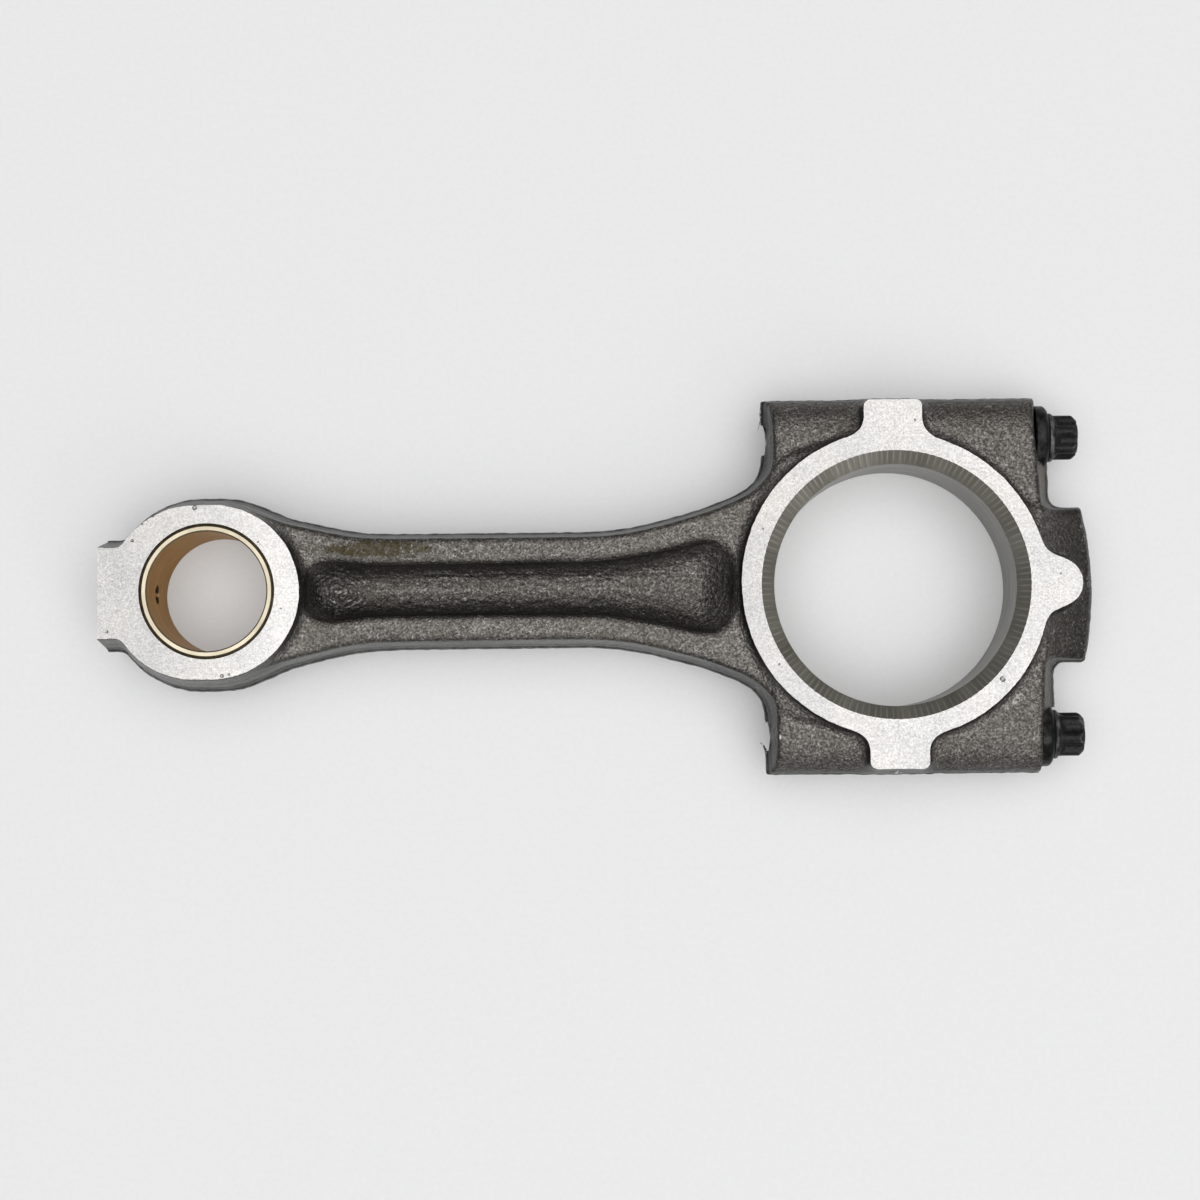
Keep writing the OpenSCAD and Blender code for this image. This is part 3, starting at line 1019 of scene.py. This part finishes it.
def build_rod_and_cap():
    blank = raw_forging()
    roughen(blank)
    cut_faces(blank)
    cut_bores(blank)
    cut_bolt_holes(blank)
    nick_faces(blank)
    leave_flakes(blank)
    cap = machine(copy_of(blank, "big_end_cap_forging"), [fracture_cutter(-1)])
    rod = machine(blank, [fracture_cutter(1)])
    rod.name = "rod_forging"
    for obj, node, body in ((rod, "rod_body", "rod"), (cap, "big_end_cap", "cap")):
        smooth(obj)
        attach(obj, body)
        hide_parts(node)


def build_bush():
    outside = HOUSING_R - PRESS_GAP
    bush = turned("bronze_bush", [
        (BUSH_BORE_R, -HALF_T + BUSH_INNER_EDGE), (BUSH_BORE_R + BUSH_INNER_EDGE, -HALF_T),
        (HOUSING_R - BUSH_OUTER_EDGE, -HALF_T), (outside, -HALF_T + BUSH_OUTER_EDGE),
        (outside, HALF_T - BUSH_OUTER_EDGE), (HOUSING_R - BUSH_OUTER_EDGE, HALF_T),
        (BUSH_BORE_R + BUSH_INNER_EDGE, HALF_T), (BUSH_BORE_R, HALF_T - BUSH_INNER_EDGE),
    ], 192, BRONZE, closed=True)
    place(bush, EYE_X)
    machine(bush, [oil_cutter(BUSH_OIL_X, BRONZE)])
    burr = block(
        "burr", (-BUSH_BORE_R - 0.55, -0.55, -OIL_HOLE_R - 0.3),
        (-BUSH_BORE_R - 0.12, 0.35, OIL_HOLE_R + 0.3), BRONZE,
    )
    machine(bush, [place(burr, EYE_X)], "UNION")
    smooth(bush)
    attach(bush, "rod")
    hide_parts("small_end_bush")


def thread_rings(angles, tip):
    """A helical thread that grows from the tip and fades into the shank: (radii, height) rings."""
    rings = []
    for x in np.arange(tip + 1.0, THREAD_START, THREAD_STEP):
        phase = (x / PITCH - angles / (2 * math.pi)) % 1.0
        crest = np.clip(1.35 - np.abs(phase - 0.5) * 3.4, 0, 1)
        grow = min(1, (x - tip) / 2.0)
        fade = min(1, (THREAD_START - x) / 1.5)
        core = CORE_R * (0.95 + 0.05 * grow)
        rings.append((core + (THREAD_R - CORE_R) * crest * grow * fade, x))
    return rings


def head_rings(angles, twist, height):
    """Six-lobed head above its collar, with a recessed end: (radii, height) rings."""
    wave = np.tanh(FLUTE_SHARPNESS * np.cos(6 * (angles - twist))) / math.tanh(FLUTE_SHARPNESS)
    rings = []
    for x in np.linspace(COLLAR_END, height, 22):
        depth = FLUTE_DEPTH * (0.5 - 0.5 * wave) * min(1, 0.15 + (x - COLLAR_END) / 1.8)
        cone = LOBE_R - 0.85 * max(0, x - (height - 1.25)) ** 1.15
        rings.append((np.minimum(LOBE_R - depth, cone), x))
    rings.append((np.minimum(rings[-1][0] - 0.25, 3.9), height + 0.001))
    return rings + [(2.9, height), (2.3, height - 0.5)]


def build_bolt(name, side, body, twist, height):
    """Bolt along +X with its seat at SEAT_X."""
    angles = np.linspace(0, 2 * math.pi, BOLT_SEGMENTS, endpoint=False)
    tip = BOLT_TIP_X - SEAT_X
    shank_and_flange = [
        (3.95, THREAD_START + 0.3), (4.0, -19), (4.4, -18.2), (4.4, -0.8), (4.1, -0.4), (4.1, 0.0),
        (FLANGE_R - 0.3, 0.0), (FLANGE_R, 0.3), (FLANGE_R, 2.2), (FLANGE_R - 0.12, 2.55),
        (FLANGE_R - 0.42, 2.95), (FLANGE_R - 0.9, 3.3), (FLANGE_R - 1.6, 3.55), (5.9, 3.6),
        (5.95, 3.72), (6.18, 3.85), (6.22, 4.45), (6.02, 4.8), (5.7, COLLAR_END),
    ]
    rings = [(3.0, tip), (3.4, tip + 0.3)]
    rings += thread_rings(angles, tip)
    rings += shank_and_flange
    rings += head_rings(angles, math.radians(twist), height)
    bolt = turned(name, rings, BOLT_SEGMENTS, OXIDE)
    place(bolt, SEAT_X, side * BOLT_Y, along_x=True)
    smooth(bolt, 28)
    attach(bolt, body)
    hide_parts("cap_" + body)


build_rod_and_cap()
build_bush()
build_bolt("flange_bolt_upper", 1, "bolt_upper", UPPER_TWIST, HEAD_H)
build_bolt("flange_bolt_lower", -1, "bolt_lower", LOWER_TWIST, LOWER_HEAD_H)


# ---------------------------------------------------------------- floor, light and camera

def floor_paper():
    """Pale paper on a light table: a little of its light comes from below."""
    s = Surface("floor_paper", rough=0.7, metal=0.0)
    s.shader.inputs["Emission Color"].default_value = (1, 1, 1, 1)
    s.shader.inputs["Emission Strength"].default_value = PAPER_GLOW
    fibre = s.noise(1.2, 4)
    return s.wire(s.ramp(fibre, [(0.3, (0.585, 0.585, 0.586)), (0.7, (0.61, 0.61, 0.612))]))


def build_floor():
    low = (-FLOOR_HALF, -FLOOR_HALF, -FLOOR_THICKNESS)
    floor = block("floor", low, (FLOOR_HALF, FLOOR_HALF, 0), floor_paper())
    floor.location.z = -HALF_T * MM


def build_room():
    """A bright ceiling that fades towards the horizon, a little brighter towards the near right."""
    world = bpy.data.worlds.new("studio")
    bpy.context.scene.world = world
    world.use_nodes = True
    nodes = world.node_tree.nodes
    links = world.node_tree.links
    background = nodes["Background"]
    where = nodes.new("ShaderNodeTexCoord").outputs["Generated"]
    split = nodes.new("ShaderNodeSeparateXYZ")
    ramp = nodes.new("ShaderNodeValToRGB")
    links.new(where, split.inputs[0])
    links.new(split.outputs[2], ramp.inputs[0])
    links.new(ramp.outputs[0], background.inputs["Color"])
    for stop in SKY[2:]:
        ramp.color_ramp.elements.new(stop[0])
    for element, (height, grey) in zip(ramp.color_ramp.elements, SKY):
        element.position = height
        element.color = (grey, grey, grey, 1)
    lean = nodes.new("ShaderNodeVectorMath")
    lean.operation = "DOT_PRODUCT"
    lean.inputs[1].default_value = ROOM_LEAN
    links.new(where, lean.inputs[0])
    strength = nodes.new("ShaderNodeMath")
    strength.operation = "MULTIPLY_ADD"
    links.new(lean.outputs["Value"], strength.inputs[0])
    strength.inputs[1].default_value = WORLD_POWER
    strength.inputs[2].default_value = WORLD_POWER
    links.new(strength.outputs[0], background.inputs["Strength"])


def build_key_light():
    """A softbox above the near right corner."""
    light = bpy.data.lights.new("key", "AREA")
    light.shape = "RECTANGLE"
    light.size = KEY_SIZE
    light.size_y = KEY_SIZE
    light.energy = KEY_POWER
    obj = bpy.data.objects.new("key", light)
    obj.location = KEY_PLACE
    obj.rotation_euler = (Vector(KEY_AIM) - Vector(KEY_PLACE)).to_track_quat("-Z", "Y").to_euler()
    bpy.context.scene.collection.objects.link(obj)


def build_camera():
    """Almost straight down, a little below the middle of the rod."""
    turn = Matrix.Identity(3)
    for axis, degrees in CAMERA_TURNS:
        turn = turn @ Matrix.Rotation(math.radians(degrees), 3, axis)
    camera = bpy.data.cameras.new("camera")
    camera.sensor_width = CAMERA_SENSOR
    camera.lens = CAMERA_LENS
    obj = bpy.data.objects.new("camera", camera)
    obj.matrix_world = Matrix.Translation(Vector(CAMERA_EYE) * MM) @ turn.transposed().to_4x4()
    bpy.context.scene.collection.objects.link(obj)
    bpy.context.scene.camera = obj


build_floor()
build_room()
build_key_light()
build_camera()
bpy.context.scene.view_settings.view_transform = "Standard"
